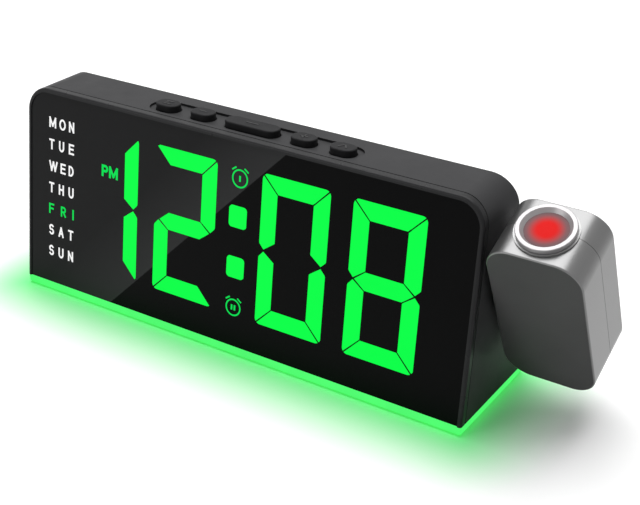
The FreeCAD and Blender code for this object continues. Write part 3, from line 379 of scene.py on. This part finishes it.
def smoked_window():
    """The dark window: near black and glossy, with a paler reflection painted into its colour to the left of
    a slanting edge.
    """
    mat, nodes, links, shader = material("smoked_window")
    split = nodes.new("ShaderNodeSeparateXYZ")
    links.new(object_place(nodes), split.inputs["Vector"])
    edge_top = Vector((BODY_LEFT + EDGE_TOP_X, BODY_LOW + EDGE_TOP_Z))
    edge_foot = Vector((BODY_LEFT + EDGE_FOOT_X, BODY_LOW))
    along = edge_top - edge_foot
    slope = along.x / along.y
    # The edge's place across at each height, and how far to the left of it a point lies
    edge_x = maths(nodes, links, "MULTIPLY_ADD", split.outputs["Z"], slope, edge_foot.x - slope * edge_foot.y)
    past = maths(nodes, links, "SUBTRACT", edge_x, split.outputs["X"])
    side = map_span(nodes, links, past, -EDGE_SOFT, EDGE_SOFT)
    fade = map_span(nodes, links, past, 0.0, SHEEN_FADE, 1.0, SHEEN_KEPT)
    painted_sheen = maths(nodes, links, "MULTIPLY", side, fade)
    # The paler reflection left of the edge is painted into the window's colour, not cast by a lamp
    links.new(blend_colours(nodes, links, painted_sheen, WINDOW_DARK, PAINTED_REFLECTION), shader.inputs["Base Color"])
    dust = object_noise(nodes, links, DUST_SCALE, 6.0)
    links.new(spread(nodes, links, dust, 0.16, 0.26), shader.inputs["Roughness"])
    shader.inputs["Specular IOR Level"].default_value = 0.04
    return mat


def red_lens():
    """The lens: red in its middle, fading to a grey-mauve edge."""
    mat, nodes, links, shader = material("red_lens")
    from_middle = vector_maths(nodes, links, "DISTANCE", object_place(nodes), lens_centre())
    factor = map_span(nodes, links, from_middle, LENS_RED_R, LENS_EDGE_R, smooth=True)
    colour = blend_colours(nodes, links, factor, LENS_RED, LENS_EDGE)
    links.new(colour, shader.inputs["Base Color"])
    links.new(colour, shader.inputs["Emission Color"])
    shader.inputs["Emission Strength"].default_value = LENS_GLOW
    shader.inputs["Specular IOR Level"].default_value = 0.02
    dust = object_noise(nodes, links, LENS_DUST_SCALE, 4.0)
    links.new(spread(nodes, links, dust, 0.07, 0.16), shader.inputs["Roughness"])
    return mat


# Places on the object

def on_window(x, z, depth):
    """A point of the front plane, x from the body's left and z up from the body's foot, both in metres."""
    lean = FRONT_LEAN / BODY_H
    return Vector((BODY_LEFT + x, BODY_FRONT + z * lean + depth, BODY_LOW + z))


def window_matrix(x, z):
    """A frame on the window whose X runs right and whose Y runs up the lean, with Z out of it."""
    lean = math.atan(FRONT_LEAN / BODY_H)
    turn = Matrix.Rotation(math.radians(90) - lean, 4, "X")
    return Matrix.Translation(on_window(x, z, WINDOW_SUNK)) @ turn


def head_point(x, y, z):
    """A point of the projector head drawn upright about its hinge, as it sits when tilted."""
    turned = Matrix.Rotation(HEAD_TILT, 4, "X") @ Vector((0.0, y, z))
    return Vector((x, HINGE.y + turned.y, HINGE.z + turned.z))


def lens_centre():
    return head_point(BODY_RIGHT + HEAD_GAP + HEAD_W / 2, 0.0, HEAD_H / 2 + LENS_UP)


# Small pieces of the scene's own

def add_piece(name, verts, faces, mat, place):
    """A mesh, put where its matrix says."""
    mesh = bpy.data.meshes.new(name)
    mesh.from_pydata(verts, [], faces)
    mesh.materials.append(mat)
    o = bpy.data.objects.new(name, mesh)
    bpy.context.scene.collection.objects.link(o)
    o.matrix_world = place
    bpy.context.view_layer.update()
    return o


def bar_corners(a, b, w):
    """The four corners of a flat bar from a to b."""
    n = (b - a).normalized()
    side = Vector((-n.y, n.x)) * w / 2
    return [a + side, a - side, b - side, b + side]


def add_bar(verts, faces, a, b, w):
    first = len(verts)
    verts += [tuple(corner) for corner in bar_corners(Vector(a), Vector(b), w)]
    faces.append((first, first + 1, first + 2, first + 3))


def add_ring(verts, faces, r, w):
    """A flat ring about the middle."""
    first = len(verts)
    for i in range(RING_STEPS + 1):
        t = math.radians(360.0 * i / RING_STEPS)
        for rr in (r - w / 2, r + w / 2):
            verts.append((rr * math.cos(t), rr * math.sin(t)))
    for i in range(RING_STEPS):
        a = first + 2 * i
        faces.append((a, a + 1, a + 3, a + 2))


# Printing on the window

def print_mesh(name, verts, faces, x, z, mat):
    """A flat print lying on the window."""
    lifted = [(vx, vy, PRINT_T) for vx, vy in verts]
    o = add_piece(name, lifted, faces, mat, window_matrix(x, z))
    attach(o, "clock_body")


def stroke_points(stroke):
    if stroke[0] != "arc":
        return stroke
    _, cx, cy, rx, ry, start, end = stroke
    turns = [math.radians(start + (end - start) * i / ARC_STEPS) for i in range(ARC_STEPS + 1)]
    return [(cx + rx * math.cos(t), cy + ry * math.sin(t)) for t in turns]


def lettering(name, text, x, z, high, mat, width, weight, broad=1.0):
    """A word lying on the window, from its lower left corner, spaced out to a width."""
    verts, faces = [], []
    cells = [LETTER_W.get(c, LETTER_USUAL_W) * high * broad for c in text]
    gap = (width - sum(cells)) / (len(text) - 1)
    inner = high - weight
    at = 0.0
    for letter, cell in zip(text, cells):
        for stroke in LETTERS[letter]:
            points = [(at + weight / 2 + px * (cell - weight), weight / 2 + py * inner)
                      for px, py in stroke_points(stroke)]
            for a, b in zip(points, points[1:]):
                along = (Vector(b) - Vector(a)).normalized() * weight * 0.5
                overlap = along if len(points) < ARC_STEPS else along * ARC_OVERLAP
                add_bar(verts, faces, Vector(a) - overlap, Vector(b) + overlap, weight)
        at += cell + gap
    print_mesh(name, verts, faces, x, z, mat)


def alarm_icon(name, x, z, r, hands, mat):
    """A small round alarm clock, with one or two hands and a bell bar at each shoulder."""
    verts, faces = [], []
    add_ring(verts, faces, r, ALARM_LINE)
    for i in range(hands):
        at = (i - (hands - 1) / 2) * ALARM_HAND_STEP
        add_bar(verts, faces, (at, -r * 0.34), (at, r * 0.34), ALARM_HAND_W)
    for side in (-1, 1):
        add_bar(verts, faces, (side * r * 0.55, r * 1.28), (side * r * 1.12, r * 0.88), ALARM_LINE)
    print_mesh(name, verts, faces, x, z, mat)


def print_window(mats):
    """The weekday names, the afternoon mark and the two alarm marks."""
    for i, word in enumerate(ROWS):
        z = ROW_TOP - i * ROW_STEP
        mat = mats["print_green"] if word == LIT_ROW else mats["print_white"]
        lettering("weekday_" + word.lower(), word, ROW_LEFT, z, ROW_HIGH, mat, ROW_WIDTH, ROW_STROKE)
    green = mats["print_green"]
    lettering("afternoon_mark", "PM", AFTERNOON_LEFT, AFTERNOON_LOW, AFTERNOON_HIGH, green,
              AFTERNOON_WIDTH, AFTERNOON_STROKE, AFTERNOON_BROAD)
    for name, x, z, r, hands in ALARM_MARKS:
        alarm_icon(name, x, z, r, hands, green)


# Marks on the buttons

def button_mark(name, offset, strokes, mat, body):
    """Raised strokes on a button's top."""
    verts, faces = [], []
    for start, end in strokes:
        corners = bar_corners(Vector(start) * MM, Vector(end) * MM, MARK_W)
        f = len(verts)
        verts += [(p.x, p.y, 0.0) for p in corners] + [(p.x, p.y, MARK_T) for p in corners]
        faces.append((f + 4, f + 5, f + 6, f + 7))
        for i in range(4):
            following = (i + 1) % 4
            faces.append((f + i, f + following, f + 4 + following, f + 4 + i))
    place = Matrix.Translation((BUTTON_X + offset * MM, BUTTON_Y, BUTTON_TOP))
    o = add_piece(name, verts, faces, mat, place)
    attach(o, body)


def mark_buttons(mats):
    for button, offset, strokes in BUTTON_MARKS:
        button_mark(button + "_mark", offset, strokes, mats["button_mark"], button + "_button_body")


# Finishes

def build_materials():
    """Every finish, by the name of the slot that it fills."""
    mats = {name: plastic(name, **look) for name, look in PLASTICS.items()}
    mats.update({name: glow(name, **look) for name, look in GLOWS.items()})
    mats.update({name: brushed(name, **look) for name, look in METALS.items()})
    mats["smoked_window"] = smoked_window()
    mats["red_lens"] = red_lens()
    return mats


def dress_nodes(mats):
    """Each built piece takes the finish of its slot."""
    for entry in frame["record"]["subparts"]:
        node = frame["nodes"][entry["node"]]
        node.data.materials.clear()
        node.data.materials.append(mats[entry["material_slot"]])
    paint_head_face_shade(mats)


def paint_head_face_shade(mats):
    """The flat front of the head takes a darker satin finish than its brushed top and sides: painted shade on
    the front, which faces down and away from the overhead lamp.
    """
    shell = frame["nodes"]["head_front_shell"]
    shell.data.materials.append(mats["head_face_painted_shade"])
    out = Matrix.Rotation(HEAD_TILT, 3, "X") @ Vector((0, -1, 0))
    face_depth = max(v.co.dot(out) for v in shell.data.vertices)
    for polygon in shell.data.polygons:
        if polygon.normal.dot(out) > FACE_SQUARE and polygon.center.dot(out) > face_depth - FACE_NEAR:
            polygon.material_index = 1


# The room

def distance_from_clock(nodes, links):
    """How far a point of the table lies outside the rectangle that the clock stands on."""
    middle = ((BODY_LEFT + BODY_RIGHT) / 2, BODY_FRONT + BODY_DEPTH / 2, 0.0)
    half = ((BODY_RIGHT - BODY_LEFT) / 2, BODY_DEPTH / 2, 0.0)
    from_middle = vector_maths(nodes, links, "SUBTRACT", object_place(nodes), middle)
    folded = vector_maths(nodes, links, "ABSOLUTE", from_middle)
    outside = vector_maths(nodes, links, "SUBTRACT", folded, half)
    kept = vector_maths(nodes, links, "MAXIMUM", outside, (0.0, 0.0, 0.0))
    return vector_maths(nodes, links, "LENGTH", kept)


def table_finish():
    """White, with the green light of the lit base ring painted into its colour near the clock, where the ring
    shines on the table.
    """
    mat, nodes, links, shader = material("table_white")
    distance = distance_from_clock(nodes, links)
    # Painted glow: the table's colour turns green near the clock, as if lit by the base ring
    away = map_span(nodes, links, distance, PAINTED_GLOW_START, PAINTED_GLOW_REACH, smooth=True)
    colour = blend_colours(nodes, links, away, PAINTED_GLOW_COLOUR, TABLE_COLOUR)
    # The table looks a little paler than it is lit, so that it reads as white.
    # Far from the lamps, where it is hardly lit, it looks paler still.
    far = map_span(nodes, links, distance, FAR_START, FAR_END, TABLE_LIFT, FAR_LIFT, smooth=True)
    lift = maths(nodes, links, "MULTIPLY", seen_directly(nodes, links), far)
    links.new(colour, shader.inputs["Base Color"])
    links.new(colour, shader.inputs["Emission Color"])
    links.new(lift, shader.inputs["Emission Strength"])
    shader.inputs["Roughness"].default_value = 0.6
    shader.inputs["Specular IOR Level"].default_value = 0.1
    return mat


def build_stage():
    mat = table_finish()
    bpy.ops.mesh.primitive_plane_add(size=TABLE_SIZE, location=(0, 0, 0))
    floor = bpy.context.object
    floor.name = "table"
    floor.data.materials.append(mat)


def lamp(name, at, target, size, power):
    data = bpy.data.lights.new(name, "AREA")
    data.shape = "RECTANGLE"
    data.size, data.size_y = size
    data.energy = power
    o = bpy.data.objects.new(name, data)
    bpy.context.scene.collection.objects.link(o)
    o.location = at
    o.rotation_euler = (Vector(target) - Vector(at)).to_track_quat("-Z", "Y").to_euler()


def build_light():
    """A dim, even room that looks white when seen, and the lamps."""
    world = bpy.data.worlds.new("room")
    bpy.context.scene.world = world
    world.use_nodes = True
    nodes = world.node_tree.nodes
    links = world.node_tree.links
    background = nodes["Background"]
    background.inputs["Color"].default_value = (1, 1, 1, 1)
    level = map_span(nodes, links, seen_directly(nodes, links), 0.0, 1.0, ROOM_LIGHT, ROOM_SEEN)
    links.new(level, background.inputs["Strength"])
    for name, at, target, size, power in LAMPS:
        lamp(name, at, target, size, power)


def build_camera():
    data = bpy.data.cameras.new("camera")
    data.lens = LENS
    data.sensor_width = SENSOR
    data.shift_x = 0.0
    data.shift_y = SHIFT_Y
    data.clip_start = CLIP_START
    o = bpy.data.objects.new("camera", data)
    bpy.context.scene.collection.objects.link(o)
    level = math.cos(CAMERA_PITCH)
    ahead = Vector((math.sin(CAMERA_YAW) * level, math.cos(CAMERA_YAW) * level, -math.sin(CAMERA_PITCH)))
    right = Vector((math.cos(CAMERA_YAW), -math.sin(CAMERA_YAW), 0))
    up = right.cross(ahead)
    turn = Matrix((right, up, -ahead)).transposed().to_4x4()
    o.matrix_world = Matrix.Translation(CAMERA_AT) @ turn
    bpy.context.scene.camera = o


def build():
    mats = build_materials()
    dress_nodes(mats)
    print_window(mats)
    mark_buttons(mats)
    build_stage()
    build_light()
    build_camera()
    bpy.context.scene.view_settings.view_transform = "Standard"


build()
